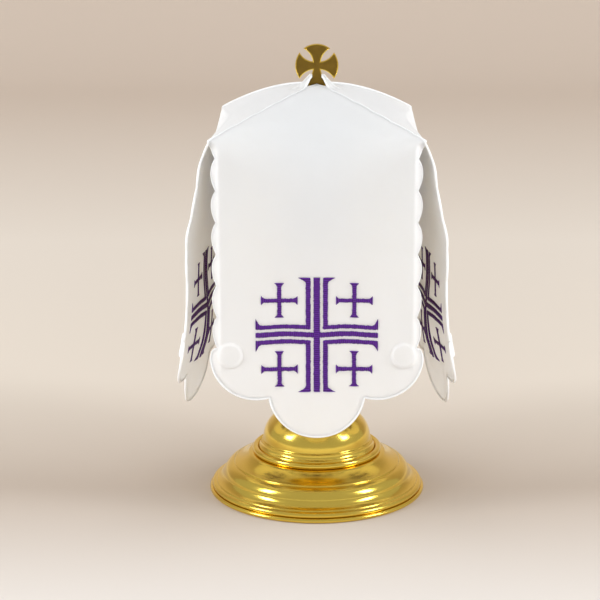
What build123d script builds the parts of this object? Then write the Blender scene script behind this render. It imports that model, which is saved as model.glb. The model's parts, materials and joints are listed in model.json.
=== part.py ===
"""Ciborium with its four-panel cloth veil.

A covered cup on a stepped, turned foot, with a cross on the lid, dressed in a white veil.
Millimetres. The origin is the centre of the foot's underside, +Z is up and the front is -Y.
"""

import os
from math import cos, hypot, radians, sin

from build123d import *

# ---------------------------------------------------------------- foot
RIM_RADIUS = 62.5
RIM_HEIGHT = 2.5
RIM_INNER_RADIUS = 59.5
FELT_THICKNESS = 1.2
PLATE_THICKNESS = 1.2
FOOT_WALL = 1.2
LEDGE_HEIGHT = 22.4
WIRE_RING_RADIUS = 35.6
WIRE_RING_WIRE = 1.9
BELL_RADIUS = 33.6
BELL_TOP_RADIUS = 9.5
BELL_TOP = 58.0

# ---------------------------------------------------------------- stem
ROD_RADIUS = 4.0
ROD_CLEARANCE = 0.15
ROD_BOTTOM = 47.0
COLLAR_RADIUS = 12.5
COLLAR_HEIGHT = 3.0
KNOP_RADIUS = 19.0
KNOP_BOTTOM = 72.0
KNOP_TOP = 98.0
STEM_RADIUS = 7.5
UPPER_COLLAR_BOTTOM = 106.0
CUP_BOTTOM = 114.0

# ---------------------------------------------------------------- cup and lid
CUP_RADIUS = 55.0
CUP_RIM = 196.0
CUP_WALL = 1.2
LID_GAP = 0.4
LID_BEAD_RADIUS = 56.5
LID_WALL = 1.0
LID_TOP = 231.0
LOCATING_RADIUS = 53.1
LOCATING_DEPTH = 6.0

# ---------------------------------------------------------------- cross on the lid
CROSS_CENTRE = 247.0
CROSS_RADIUS = 12.0
CROSS_CORNER_ANGLE = 37.7
CROSS_INNER = 2.2
CROSS_SIDE_BOW = 1.55
CROSS_THICKNESS = 3.2
NECK_RADIUS = 2.0

# ---------------------------------------------------------------- veil
CLOTH = 1.0
APEX_HEIGHT = 237.0
SHOULDER_DROP = 19.0
ROOF_POWER = 1.35
SHOULDER_X = 58.5
SHOULDER_Y = 60.6
SLIT_HALF_LENGTH = 13.0
SLIT_HALF_WIDTH = 2.8
BINDING = 1.2
DROP_TOP = 216.0
DROP_EDGE = 57.8
NOTCH_EDGE = 54.8
NOTCH_HEIGHTS = (205.0, 189.0, 171.0, 155.0, 137.0, 120.0, 102.0)
LOBE_NOTCH = (25.8, 72.0)
CENTRE_LOBE_BOTTOM = 50.0
WEIGHT_ACROSS = 47.4
WEIGHT_HEIGHT = 97.0
WEIGHT_RADIUS = 6.5
WEIGHT_THICKNESS = 1.6

# Flare of a side drop: how far its inner face stands from the axis, for each height (rows)
# and each station across it from the front edge to the back edge (columns).
FLARE_HEIGHTS = (217.0, 204.0, 188.0, 160.0, 128.0, 100.0, 78.0, 48.0)
FLARE_STATIONS = (-60.0, -40.0, -20.0, 0.0, 20.0, 40.0, 60.0)
FLARE = (
    (57.8, 57.8, 57.8, 57.8, 57.8, 57.8, 57.8),
    (61.5, 60.6, 59.6, 58.9, 58.4, 58.2, 58.0),
    (65.2, 63.0, 61.2, 60.0, 59.2, 58.8, 58.2),
    (71.2, 68.0, 65.0, 62.6, 60.8, 59.8, 58.6),
    (71.0, 69.6, 66.6, 63.6, 61.4, 60.2, 58.8),
    (73.0, 72.0, 69.4, 65.0, 62.2, 60.8, 59.2),
    (77.4, 77.0, 75.0, 71.4, 64.6, 61.4, 59.8),
    (79.0, 79.0, 77.0, 74.0, 67.0, 62.0, 60.4),
)

# ---------------------------------------------------------------- embroidery
EMBROIDERY_HEIGHT = 108.0
EMBROIDERY_RELIEF = 0.35
MAIN_HALF_SPAN = 33.0
MIDDLE_BAR = 3.4
OUTER_BAR = 2.6
BAR_GAP = 1.4
SERIF = 1.4
SMALL_CROSS_OFFSET = 19.5
SMALL_CROSS_SPAN = 19.6
SMALL_CROSS_BAR = 2.2
SMALL_CROSS_FLARE = 6.4


def outline_face(points):
    """Flat face in the XZ plane from a closed outline of (x, z) points."""
    return make_face(Polyline(*[(x, 0, z) for x, z in points], close=True))


def turned(points):
    """Solid turned about the Z axis from a closed outline of (radius, height) points."""
    return revolve(outline_face(points), Axis.Z, 360)


def turned_edges(edges):
    """Solid turned about the Z axis from lines and arcs that close an outline."""
    return revolve(make_face(edges), Axis.Z, 360)


def xz(points):
    """The same points as 3-D points of the XZ plane."""
    return [(x, 0, z) for x, z in points]


def chain(*parts):
    """Edges of an outline: two points make a line, three an arc and more a smooth curve."""
    edges = []
    for points in parts:
        spots = xz(points)
        if len(spots) == 2:
            edges.append(Line(*spots))
        elif len(spots) == 3:
            edges.append(ThreePointArc(*spots))
        else:
            edges.append(Spline(*spots))
    return edges


def ring(outer, inner, bottom, top):
    """Plain washer or tube about the Z axis."""
    return turned([(inner, bottom), (outer, bottom), (outer, top), (inner, top)])


def hexagon_nut(across_flats, bore, bottom, top):
    """Plain six-sided nut about the Z axis."""
    blank = extrude(RegularPolygon(across_flats / 2, 6, major_radius=False), top - bottom)
    hole = Cylinder(bore, top - bottom, align=(Align.CENTER, Align.CENTER, Align.MIN))
    return Pos(0, 0, bottom) * (blank - hole)


# ================================================================ foot
def base_felt():
    """Felt disc glued under the foot."""
    return Cylinder(RIM_INNER_RADIUS - 0.2, FELT_THICKNESS, align=(Align.CENTER, Align.CENTER, Align.MIN))


def base_plate():
    """Steel disc that closes the foot's underside."""
    disc = Cylinder(RIM_INNER_RADIUS - 0.1, PLATE_THICKNESS, align=(Align.CENTER, Align.CENTER, Align.MIN))
    return Pos(0, 0, FELT_THICKNESS) * disc


def foot_rim():
    """Rolled flange that the vessel stands on."""
    round_start = RIM_RADIUS - RIM_HEIGHT / 2
    return turned_edges(
        chain(
            [(RIM_INNER_RADIUS, 0), (round_start, 0)],
            [(round_start, 0), (RIM_RADIUS, RIM_HEIGHT / 2), (round_start, RIM_HEIGHT)],
            [(round_start, RIM_HEIGHT), (RIM_INNER_RADIUS, RIM_HEIGHT)],
            [(RIM_INNER_RADIUS, RIM_HEIGHT), (RIM_INNER_RADIUS, 0)],
        )
    )


def foot_shell():
    """Spun shell with a low step, a round step and a cove, open in the middle for the bell."""
    wall = FOOT_WALL
    low = RIM_HEIGHT
    return turned_edges(
        chain(
            [(60.9, low), (61.2, low + 0.5)],
            [(61.2, low + 0.5), (60.3, 4.9), (57.8, 6.1)],
            [(57.8, 6.1), (55.3, 7.7), (53.6, 10.0)],
            [(53.6, 10.0), (52.2, 13.8), (48.5, 16.2)],
            [(48.5, 16.2), (48.2, 17.0)],
            [(48.2, 17.0), (42.7, 19.4), (39.2, LEDGE_HEIGHT)],
            [(39.2, LEDGE_HEIGHT), (31.4, LEDGE_HEIGHT)],
            [(31.4, LEDGE_HEIGHT), (31.4, LEDGE_HEIGHT - wall)],
            [(31.4, LEDGE_HEIGHT - wall), (38.6, LEDGE_HEIGHT - wall)],
            [(38.6, LEDGE_HEIGHT - wall), (42.2, 18.2), (47.1, 15.9)],
            [(47.1, 15.9), (51.0, 13.2), (52.4, 9.6)],
            [(52.4, 9.6), (54.4, 6.7), (57.4, 4.9)],
            [(57.4, 4.9), (59.3, 4.0), (59.7, low)],
            [(59.7, low), (60.9, low)],
        )
    )


def foot_wire_ring():
    """Round wire soldered on the ledge between the foot and the bell."""
    return Pos(0, 0, LEDGE_HEIGHT + WIRE_RING_WIRE) * Torus(WIRE_RING_RADIUS, WIRE_RING_WIRE)


def foot_bell():
    """Spun bell that carries the stem, with a cove at its foot and a narrow neck."""
    wall = FOOT_WALL
    top = BELL_TOP
    bore = ROD_RADIUS + ROD_CLEARANCE
    low = LEDGE_HEIGHT
    return turned_edges(
        chain(
            [(BELL_RADIUS - 1.6, low), (BELL_RADIUS, low)],
            [(BELL_RADIUS, low), (BELL_RADIUS, 26.4)],
            [(BELL_RADIUS, 26.4), (32.5, 27.4), (31.9, 29.2)],
            [(31.9, 29.2), (31.1, 29.6)],
            [
                (31.1, 29.6),
                (30.3, 34.6),
                (28.9, 39.0),
                (24.6, 44.0),
                (17.2, 49.4),
                (11.6, 54.0),
                (BELL_TOP_RADIUS, top),
            ],
            [(BELL_TOP_RADIUS, top), (bore, top)],
            [(bore, top), (bore, top - wall)],
            [(bore, top - wall), (8.6, top - wall)],
            [
                (8.6, top - wall),
                (10.8, 53.0),
                (16.4, 48.4),
                (23.7, 43.1),
                (27.7, 38.5),
                (29.1, 34.2),
                (29.8, 29.0),
            ],
            [(29.8, 29.0), (30.7, 28.2)],
            [(30.7, 28.2), (31.3, 26.8), (BELL_RADIUS - 1.6, 25.4)],
            [(BELL_RADIUS - 1.6, 25.4), (BELL_RADIUS - 1.6, low)],
        )
    )


# ================================================================ stem
def base_washer():
    """Washer under the bell's neck, inside the foot."""
    return ring(8.2, ROD_RADIUS + ROD_CLEARANCE, BELL_TOP - FOOT_WALL - 1.2, BELL_TOP - FOOT_WALL)


def base_nut():
    """Nut on the tie rod, inside the foot."""
    top = BELL_TOP - FOOT_WALL - 1.2
    return hexagon_nut(13.0, ROD_RADIUS + 0.05, top - 6.0, top)


def tie_rod():
    """Threaded rod that pulls foot, stem and cup together."""
    length = CUP_BOTTOM - 1.5 - ROD_BOTTOM
    rod = Cylinder(ROD_RADIUS, length, align=(Align.CENTER, Align.CENTER, Align.MIN))
    return Pos(0, 0, ROD_BOTTOM) * rod


def collar(bottom):
    """Rounded collar of the stem with a bore for the tie rod."""
    bore = ROD_RADIUS + ROD_CLEARANCE
    edge = COLLAR_RADIUS - COLLAR_HEIGHT / 2
    top = bottom + COLLAR_HEIGHT
    return turned_edges(
        chain(
            [(bore, bottom), (edge, bottom)],
            [(edge, bottom), (COLLAR_RADIUS, bottom + COLLAR_HEIGHT / 2), (edge, top)],
            [(edge, top), (bore, top)],
            [(bore, top), (bore, bottom)],
        )
    )


def stem_tube(bottom, top, bottom_radius, waist, top_radius):
    """Waisted length of the stem with a bore for the tie rod."""
    bore = ROD_RADIUS + ROD_CLEARANCE
    middle = (bottom + top) / 2
    return turned_edges(
        chain(
            [(bore, bottom), (bottom_radius, bottom)],
            [(bottom_radius, bottom), (waist, middle), (top_radius, top)],
            [(top_radius, top), (bore, top)],
            [(bore, top), (bore, bottom)],
        )
    )


def knop():
    """Round grip in the middle of the stem, with a flat band round its waist."""
    bore = ROD_RADIUS + ROD_CLEARANCE
    middle = (KNOP_BOTTOM + KNOP_TOP) / 2
    band = 2.0
    return turned_edges(
        chain(
            [(bore, KNOP_BOTTOM), (8.5, KNOP_BOTTOM)],
            [(8.5, KNOP_BOTTOM), (15.2, middle - 7.6), (18.2, middle - band)],
            [(18.2, middle - band), (KNOP_RADIUS, middle - band)],
            [(KNOP_RADIUS, middle - band), (KNOP_RADIUS, middle + band)],
            [(KNOP_RADIUS, middle + band), (18.2, middle + band)],
            [(18.2, middle + band), (15.2, middle + 7.6), (8.5, KNOP_TOP)],
            [(8.5, KNOP_TOP), (bore, KNOP_TOP)],
            [(bore, KNOP_TOP), (bore, KNOP_BOTTOM)],
        )
    )


def cup_boss():
    """Boss brazed under the cup, with a blind hole for the tie rod."""
    low = UPPER_COLLAR_BOTTOM + COLLAR_HEIGHT
    hole = ROD_RADIUS + 0.05
    return turned_edges(
        chain(
            [(hole, low), (9.5, low)],
            [(9.5, low), (11.5, low + 2.6), (14.0, CUP_BOTTOM)],
            [(14.0, CUP_BOTTOM), (0, CUP_BOTTOM)],
            [(0, CUP_BOTTOM), (0, CUP_BOTTOM - 1.2)],
            [(0, CUP_BOTTOM - 1.2), (hole, CUP_BOTTOM - 1.2)],
            [(hole, CUP_BOTTOM - 1.2), (hole, low)],
        )
    )


# ================================================================ cup and lid
def cup():
    """Deep round bowl with an even wall and a flat lip."""
    wall = CUP_WALL
    low = CUP_BOTTOM
    return turned_edges(
        chain(
            [(0, low), (14.0, low)],
            [
                (14.0, low),
                (33.0, 122.0),
                (47.5, 138.0),
                (53.6, 158.0),
                (CUP_RADIUS, 180.0),
                (CUP_RADIUS, CUP_RIM),
            ],
            [(CUP_RADIUS, CUP_RIM), (CUP_RADIUS - wall, CUP_RIM)],
            [
                (CUP_RADIUS - wall, CUP_RIM),
                (CUP_RADIUS - wall, 180.0),
                (52.4, 158.3),
                (46.5, 138.7),
                (32.4, 123.1),
                (13.8, low + wall),
            ],
            [(13.8, low + wall), (0, low + wall)],
            [(0, low + wall), (0, low)],
        )
    )


def lid_bead():
    """Rounded bead round the lid's edge, which rests on the cup's lip."""
    low = CUP_RIM + LID_GAP
    inner = LOCATING_RADIUS
    edge = LID_BEAD_RADIUS - 1.4
    return turned_edges(
        chain(
            [(inner, low), (edge, low)],
            [(edge, low), (LID_BEAD_RADIUS, low + 1.4), (edge, low + 2.8)],
            [(edge, low + 2.8), (inner, low + 2.8)],
            [(inner, low + 2.8), (inner, low)],
        )
    )


def lid_locating_ring():
    """Thin ring under the lid that centres it in the cup."""
    top = CUP_RIM + LID_GAP + 2.8
    return ring(LOCATING_RADIUS, LOCATING_RADIUS - 1.0, CUP_RIM - LOCATING_DEPTH, top)


def lid_shell():
    """Spun dome of the lid, with a flat seat and a hole for the cross at its top."""
    low = CUP_RIM + LID_GAP + 2.8
    hole = NECK_RADIUS + 0.1
    wall = LID_WALL
    return turned_edges(
        chain(
            [(54.6, low), (54.6, low + 1.0)],
            [(54.6, low + 1.0), (51.0, 205.6), (43.0, 213.4), (31.0, 221.0), (18.0, 227.6), (8.6, LID_TOP)],
            [(8.6, LID_TOP), (hole, LID_TOP)],
            [(hole, LID_TOP), (hole, LID_TOP - wall)],
            [(hole, LID_TOP - wall), (8.4, LID_TOP - wall)],
            [
                (8.4, LID_TOP - wall),
                (17.6, 226.6),
                (30.5, 220.1),
                (42.3, 212.6),
                (50.2, 205.0),
                (53.4, low + 0.6),
            ],
            [(53.4, low + 0.6), (53.4, low)],
            [(53.4, low), (54.6, low)],
        )
    )


def finial_base():
    """Turned foot of the cross, with the stud that goes down through the lid."""
    top = CROSS_CENTRE - CROSS_RADIUS - 0.1
    return turned_edges(
        chain(
            [(0, 224.0), (NECK_RADIUS, 224.0)],
            [(NECK_RADIUS, 224.0), (NECK_RADIUS, LID_TOP)],
            [(NECK_RADIUS, LID_TOP), (8.0, LID_TOP)],
            [(8.0, LID_TOP), (7.4, LID_TOP + 1.2), (5.2, LID_TOP + 1.7)],
            [(5.2, LID_TOP + 1.7), (3.0, LID_TOP + 2.3), (NECK_RADIUS, top)],
            [(NECK_RADIUS, top), (0, top)],
            [(0, top), (0, 224.0)],
        )
    )


def finial_washer():
    """Washer under the lid's top."""
    return ring(6.0, NECK_RADIUS + 0.1, LID_TOP - LID_WALL - 1.0, LID_TOP - LID_WALL)


def finial_nut():
    """Nut on the cross's stud, inside the lid."""
    top = LID_TOP - LID_WALL - 1.0
    return hexagon_nut(7.0, NECK_RADIUS + 0.05, top - 3.2, top)


def finial_cross():
    """Cross with four flared arms whose ends lie on one circle."""
    angle = radians(CROSS_CORNER_ANGLE)
    out, across = CROSS_RADIUS * cos(angle), CROSS_RADIUS * sin(angle)
    run = hypot(across - CROSS_INNER, out - CROSS_INNER)
    middle_across = (across + CROSS_INNER) / 2 - CROSS_SIDE_BOW * (out - CROSS_INNER) / run
    middle_out = (out + CROSS_INNER) / 2 + CROSS_SIDE_BOW * (across - CROSS_INNER) / run
    arm = [
        ThreePointArc((-across, 0, out), (0, 0, CROSS_RADIUS), (across, 0, out)),
        ThreePointArc((across, 0, out), (middle_across, 0, middle_out), (CROSS_INNER, 0, CROSS_INNER)),
        ThreePointArc((-CROSS_INNER, 0, CROSS_INNER), (-middle_across, 0, middle_out), (-across, 0, out)),
    ]
    edges = [Rot(0, 90 * turn, 0) * edge for turn in range(4) for edge in arm]
    plate = extrude(make_face(edges), amount=CROSS_THICKNESS / 2, dir=(0, 1, 0), both=True)
    return Pos(0, 0, CROSS_CENTRE) * plate


# ================================================================ crown of the veil
def roof_height(share):
    """Height of the cloth at a share of the way from the apex to a shoulder."""
    return APEX_HEIGHT - SHOULDER_DROP * share**ROOF_POWER


def roof_profile(reach, start):
    """Cross-section of a gore from the slit out to its shoulder, as (distance, height)."""
    steps = 6
    shares = [start / reach + (1 - start / reach) * step / steps for step in range(steps + 1)]
    upper = [(share * reach, roof_height(share)) for share in shares]
    return upper + [(distance, height - CLOTH) for distance, height in reversed(upper)]


def front_gore(side):
    """Front (side -1) or back (side 1) gore, from the slit binding out to the shoulder."""
    near = SLIT_HALF_WIDTH + BINDING
    tip = SLIT_HALF_LENGTH + BINDING
    ridge = tip * SHOULDER_Y / SHOULDER_X
    slope = [(0, side * distance, height) for distance, height in roof_profile(SHOULDER_Y, near)]
    band = extrude(make_face(Polyline(*slope, close=True)), amount=SHOULDER_X, dir=(1, 0, 0), both=True)
    plan = [
        (-SHOULDER_X, side * SHOULDER_Y, 0),
        (-tip, side * ridge, 0),
        (-tip, side * near, 0),
        (tip, side * near, 0),
        (tip, side * ridge, 0),
        (SHOULDER_X, side * SHOULDER_Y, 0),
    ]
    return band & extrude(make_face(Polyline(*plan, close=True)), amount=300, dir=(0, 0, 1))


def side_gore(side):
    """Left (side -1) or right (side 1) gore, from the slit binding out to the shoulder."""
    tip = SLIT_HALF_LENGTH + BINDING
    ridge = tip * SHOULDER_Y / SHOULDER_X
    slope = [(side * distance, 0, height) for distance, height in roof_profile(SHOULDER_X, tip)]
    band = extrude(make_face(Polyline(*slope, close=True)), amount=SHOULDER_Y, dir=(0, 1, 0), both=True)
    plan = [
        (side * tip, -ridge, 0),
        (side * tip, ridge, 0),
        (side * SHOULDER_X, SHOULDER_Y, 0),
        (side * SHOULDER_X, -SHOULDER_Y, 0),
    ]
    return band & extrude(make_face(Polyline(*plan, close=True)), amount=300, dir=(0, 0, 1))


def slit_binding():
    """Four bound edges of the slit that the cross stands up through."""
    height = 2.2
    along = SLIT_HALF_LENGTH + BINDING / 2
    across = SLIT_HALF_WIDTH + BINDING / 2
    level = APEX_HEIGHT - 0.6
    bars = []
    for side in (-1, 1):
        bars.append(Pos(0, side * across, level) * Box(2 * (SLIT_HALF_LENGTH + BINDING), BINDING, height))
        bars.append(Pos(side * along, 0, level) * Box(BINDING, 2 * SLIT_HALF_WIDTH, height))
    return Compound(children=bars)


# ================================================================ hanging panels of the veil
def scallops(side):
    """Points in threes for the arcs down one edge of a drop, as (across, height)."""
    heights = (DROP_TOP,) + NOTCH_HEIGHTS
    arcs = []
    for high, low in zip(heights, heights[1:]):
        start = side * (NOTCH_EDGE + 1.2 if high == DROP_TOP else NOTCH_EDGE)
        arcs.append([(start, high), (side * DROP_EDGE, (high + low) / 2), (side * NOTCH_EDGE, low)])
    return arcs


def drop_outline():
    """Flat face of a drop in the XZ plane: scalloped edges and three round lobes."""
    low = NOTCH_HEIGHTS[-1]
    notch_x, notch_z = LOBE_NOTCH
    right_lobe = [
        (NOTCH_EDGE, low), (57.4, 97.5), (58.0, 91.5), (56.0, 84.0),
        (50.0, 76.6), (41.5, 72.6), (33.0, 71.2), (notch_x, notch_z),
    ]
    left_lobe = [(-x, z) for x, z in right_lobe]
    top = NOTCH_EDGE + 1.2
    edges = chain(
        *scallops(1),
        right_lobe,
        [(notch_x, notch_z), (0, CENTRE_LOBE_BOTTOM), (-notch_x, notch_z)],
        left_lobe,
        *scallops(-1),
        [(-top, DROP_TOP), (top, DROP_TOP)],
    )
    return make_face(edges)


def flared_bar_cross(half_span, bar, flare, serif):
    """Outline of a plain cross whose four ends flare out, about the origin of the XZ plane."""
    arm = [
        (bar / 2, bar / 2),
        (bar / 2, half_span - serif),
        (flare / 2, half_span),
        (-flare / 2, half_span),
        (-bar / 2, half_span - serif),
    ]
    points = []
    for x_of, z_of in ((1, 0), (0, 1), (-1, 0), (0, -1)):
        points += [(x * x_of + z * -z_of, x * z_of + z * x_of) for x, z in arm]
    return outline_face(points)


def corner_bars(side_x, side_z):
    """Two thin bars that meet in a corner, one of the four round the middle of the cross."""
    inner = MIDDLE_BAR / 2 + BAR_GAP
    outer = inner + OUTER_BAR
    span = MAIN_HALF_SPAN
    corner = [
        (inner, inner),
        (inner, span),
        (outer + SERIF + 1.4, span),
        (outer, span - SERIF * 2),
        (outer, outer),
        (span - SERIF * 2, outer),
        (span, outer + SERIF + 1.4),
        (span, inner),
    ]
    return outline_face([(side_x * x, side_z * z) for x, z in corner])


def embroidery_faces():
    """The cross of triple bars and its four small crosses, as flat faces of the XZ plane."""
    faces = [flared_bar_cross(MAIN_HALF_SPAN, MIDDLE_BAR, MIDDLE_BAR + 1.6, SERIF)]
    for side_x in (-1, 1):
        for side_z in (-1, 1):
            faces.append(corner_bars(side_x, side_z))
            small = flared_bar_cross(SMALL_CROSS_SPAN / 2, SMALL_CROSS_BAR, SMALL_CROSS_FLARE, SERIF)
            offset = SMALL_CROSS_OFFSET
            faces.append(Pos(side_x * offset, 0, side_z * offset) * small)
    return [Pos(0, 0, EMBROIDERY_HEIGHT) * face for face in faces]


def flat_layer(faces, side, inner, outer):
    """Slices of a front (side -1) or back (side 1) panel between two distances from the axis."""
    return [
        Pos(0, side * inner, 0) * extrude(face, amount=outer - inner, dir=(0, side, 0))
        for face in faces
    ]


def flare_surface(side, shift):
    """Curved face of a side panel, moved outward by a shift."""
    rows = [
        [(side * (reach + shift), station, height) for station, reach in zip(FLARE_STATIONS, row)]
        for height, row in zip(FLARE_HEIGHTS, FLARE)
    ]
    points = [[Vector(*spot) for spot in row] for row in rows]
    return Face.make_surface_from_array_of_points(points)


def curved_layer(faces, side, inner, outer):
    """Slices of a side panel between two distances from the inner face of its cloth."""
    layer = extrude(flare_surface(side, inner), amount=outer - inner, dir=(side, 0, 0))
    slices = []
    for face in faces:
        turned_face = Rot(0, 0, 90) * face
        prism = extrude(turned_face, amount=100, dir=(side, 0, 0))
        slices += (layer & prism).solids()
    return slices


def weight_face(across):
    """Round outline of one sewn-in corner weight."""
    return Pos(across, 0, WEIGHT_HEIGHT) * (Rot(90, 0, 0) * Circle(WEIGHT_RADIUS)).face()


def flat_panel(side):
    """Drop, embroidery and two weights of the front or back panel."""
    outer = SHOULDER_Y
    inner = outer - CLOTH
    relief = EMBROIDERY_RELIEF
    faces = embroidery_faces()
    stitches = flat_layer(faces, side, outer, outer + relief) + flat_layer(faces, side, inner - relief, inner)
    return {
        "drop": flat_layer([drop_outline()], side, inner, outer)[0],
        "embroidery": Compound(children=stitches),
        "weight_a": flat_layer([weight_face(-WEIGHT_ACROSS)], side, inner - WEIGHT_THICKNESS, inner)[0],
        "weight_b": flat_layer([weight_face(WEIGHT_ACROSS)], side, inner - WEIGHT_THICKNESS, inner)[0],
    }


def curved_panel(side):
    """Drop, embroidery and two weights of the left or right panel."""
    relief = EMBROIDERY_RELIEF
    faces = embroidery_faces()
    stitches = curved_layer(faces, side, CLOTH, CLOTH + relief) + curved_layer(faces, side, -relief, 0)
    return {
        "drop": curved_layer([drop_outline()], side, 0, CLOTH)[0],
        "embroidery": Compound(children=stitches),
        "weight_a": curved_layer([weight_face(-WEIGHT_ACROSS)], side, -WEIGHT_THICKNESS, 0)[0],
        "weight_b": curved_layer([weight_face(WEIGHT_ACROSS)], side, -WEIGHT_THICKNESS, 0)[0],
    }


def nodes():
    """Every separate piece by its node name."""
    pieces = {
        "base_felt": base_felt(),
        "base_plate": base_plate(),
        "foot_rim": foot_rim(),
        "foot_shell": foot_shell(),
        "foot_wire_ring": foot_wire_ring(),
        "foot_bell": foot_bell(),
        "base_washer": base_washer(),
        "base_nut": base_nut(),
        "tie_rod": tie_rod(),
        "lower_collar": collar(BELL_TOP),
        "lower_stem": stem_tube(BELL_TOP + COLLAR_HEIGHT, KNOP_BOTTOM, 9.0, 6.8, STEM_RADIUS),
        "knop": knop(),
        "upper_stem": stem_tube(KNOP_TOP, UPPER_COLLAR_BOTTOM, STEM_RADIUS, 6.8, 9.0),
        "upper_collar": collar(UPPER_COLLAR_BOTTOM),
        "cup_boss": cup_boss(),
        "cup": cup(),
        "lid_bead": lid_bead(),
        "lid_locating_ring": lid_locating_ring(),
        "lid_shell": lid_shell(),
        "finial_base": finial_base(),
        "finial_washer": finial_washer(),
        "finial_nut": finial_nut(),
        "finial_cross": finial_cross(),
        "gore_front": front_gore(-1),
        "gore_back": front_gore(1),
        "gore_left": side_gore(-1),
        "gore_right": side_gore(1),
        "slit_binding": slit_binding(),
    }
    panels = {
        "front": flat_panel(-1),
        "back": flat_panel(1),
        "left": curved_panel(-1),
        "right": curved_panel(1),
    }
    for place, panel in panels.items():
        for kind, piece in panel.items():
            name, _, letter = kind.partition("_")
            pieces[f"{name}_{place}_{letter}" if letter else f"{name}_{place}"] = piece
    return pieces


def main():
    """Write one STEP file for each piece."""
    os.makedirs("parts", exist_ok=True)
    for name, piece in nodes().items():
        export_step(piece, f"parts/{name}.step")


main()
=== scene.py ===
"""Looks of a ciborium dressed in its cloth veil.

The veil is four stiff panels. Each is one sheet that runs from the slit at the top, over the shoulder
and down to three round lobes, with scalloped sides bound in white satin stitch and a cross of triple
bars sewn through it in purple thread. The foot, stem, cup, lid and cross are turned, spun and cut metal.
"""

import json
import math

import bmesh
import bpy
import numpy as np
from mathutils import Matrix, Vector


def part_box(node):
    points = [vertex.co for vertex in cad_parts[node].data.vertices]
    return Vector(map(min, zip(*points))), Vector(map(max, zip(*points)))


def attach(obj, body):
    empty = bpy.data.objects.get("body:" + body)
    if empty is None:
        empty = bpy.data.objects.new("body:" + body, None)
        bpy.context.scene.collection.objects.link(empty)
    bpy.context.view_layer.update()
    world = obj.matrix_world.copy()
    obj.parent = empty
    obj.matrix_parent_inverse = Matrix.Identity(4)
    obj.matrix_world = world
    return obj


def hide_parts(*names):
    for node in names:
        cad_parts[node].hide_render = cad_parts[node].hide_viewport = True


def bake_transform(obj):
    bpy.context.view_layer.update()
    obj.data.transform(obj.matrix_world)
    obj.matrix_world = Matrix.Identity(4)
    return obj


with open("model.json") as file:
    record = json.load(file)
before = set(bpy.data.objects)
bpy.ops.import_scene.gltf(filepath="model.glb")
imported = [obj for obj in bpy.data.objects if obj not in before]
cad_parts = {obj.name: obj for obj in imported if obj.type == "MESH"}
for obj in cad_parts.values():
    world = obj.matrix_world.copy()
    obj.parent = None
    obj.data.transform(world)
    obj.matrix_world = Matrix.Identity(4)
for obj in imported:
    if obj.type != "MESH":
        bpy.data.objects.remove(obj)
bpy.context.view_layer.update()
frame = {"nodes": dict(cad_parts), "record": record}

bl_info = {
    "name": "Ciborium and veil",
    "version": (1, 0, 0),
    "blender": (4, 5, 0),
    "location": "3D View > Sidebar > Ciborium",
    "description": "Builds a lidded cup on a stepped foot, dressed in an embroidered veil",
    "category": "Object",
}

MM = 0.001
PLACES = ("front", "back", "left", "right")


# ---------------------------------------------------------------- settings
def length_setting(name, description, default):
    """A setting that is a length."""
    return bpy.props.FloatProperty(
        name=name, description=description, default=default, unit="LENGTH", precision=5
    )


def colour_setting(name, description, default):
    """A setting that is a colour."""
    return bpy.props.FloatVectorProperty(
        name=name, description=description, default=default, subtype="COLOR", min=0.0, max=1.0
    )


class VeilSettings(bpy.types.PropertyGroup):
    """Sizes and colours of the veil."""

    cloth_thickness: length_setting("Cloth thickness", "Thickness of the stiffened cloth", 0.9 * MM)
    scallop_pitch: length_setting("Scallop pitch", "Distance from one notch to the next", 17.4 * MM)
    scallop_depth: length_setting("Scallop depth", "How far a scallop stands out of its notches", 2.7 * MM)
    border_width: length_setting("Border width", "Width of the satin stitch round each panel", 1.5 * MM)
    relief: length_setting("Embroidery relief", "How far the purple stitches stand out of the cloth", 0.38 * MM)
    cloth_colour: colour_setting("Cloth", "Colour of the cloth", (0.88, 0.88, 0.88))
    border_colour: colour_setting("Border", "Colour of the satin stitch along the edges", (0.89, 0.89, 0.89))
    thread_colour: colour_setting("Embroidery", "Colour of the crosses' thread", (0.06, 0.014, 0.14))


class MetalSettings(bpy.types.PropertyGroup):
    """Colours and turning detail of the metal pieces."""

    gilt_colour: colour_setting("Gilt", "Colour of the polished gilt brass", (0.87, 0.62, 0.105))
    bronze_colour: colour_setting("Cross face", "Colour of the cross's darkened face", (0.2, 0.118, 0.016))
    segments: bpy.props.IntProperty(
        name="Segments", description="Facets round each turned piece", default=288, min=24, max=512
    )


class StageSettings(bpy.types.PropertyGroup):
    """Camera."""

    distance: length_setting("Distance", "Distance of the camera in front of the object", 1.055)
    height: length_setting("Height", "Height of the camera above the floor", 0.384)
    pitch: bpy.props.FloatProperty(
        name="Pitch", description="How far the camera looks down", default=math.radians(14.43), subtype="ANGLE"
    )
    lens: bpy.props.FloatProperty(name="Lens", description="Focal length in millimetres", default=114.1)
    shift: bpy.props.FloatProperty(name="Shift", description="Sideways shift of the picture", default=-0.028)


# ---------------------------------------------------------------- mesh helpers
def grid_faces(rows, columns, wrap_rows=False, wrap_columns=False):
    """Quads of a grid of rows by columns, as rows of four vertex numbers; either way may close on itself."""
    row = np.arange(rows if wrap_rows else rows - 1)
    column = np.arange(columns if wrap_columns else columns - 1)
    r, c = np.meshgrid(row, column, indexing="ij")
    r_next, c_next = (r + 1) % rows, (c + 1) % columns
    quads = np.stack(
        [r * columns + c, r * columns + c_next, r_next * columns + c_next, r_next * columns + c], axis=-1
    )
    return quads.reshape(-1, 4)


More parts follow.
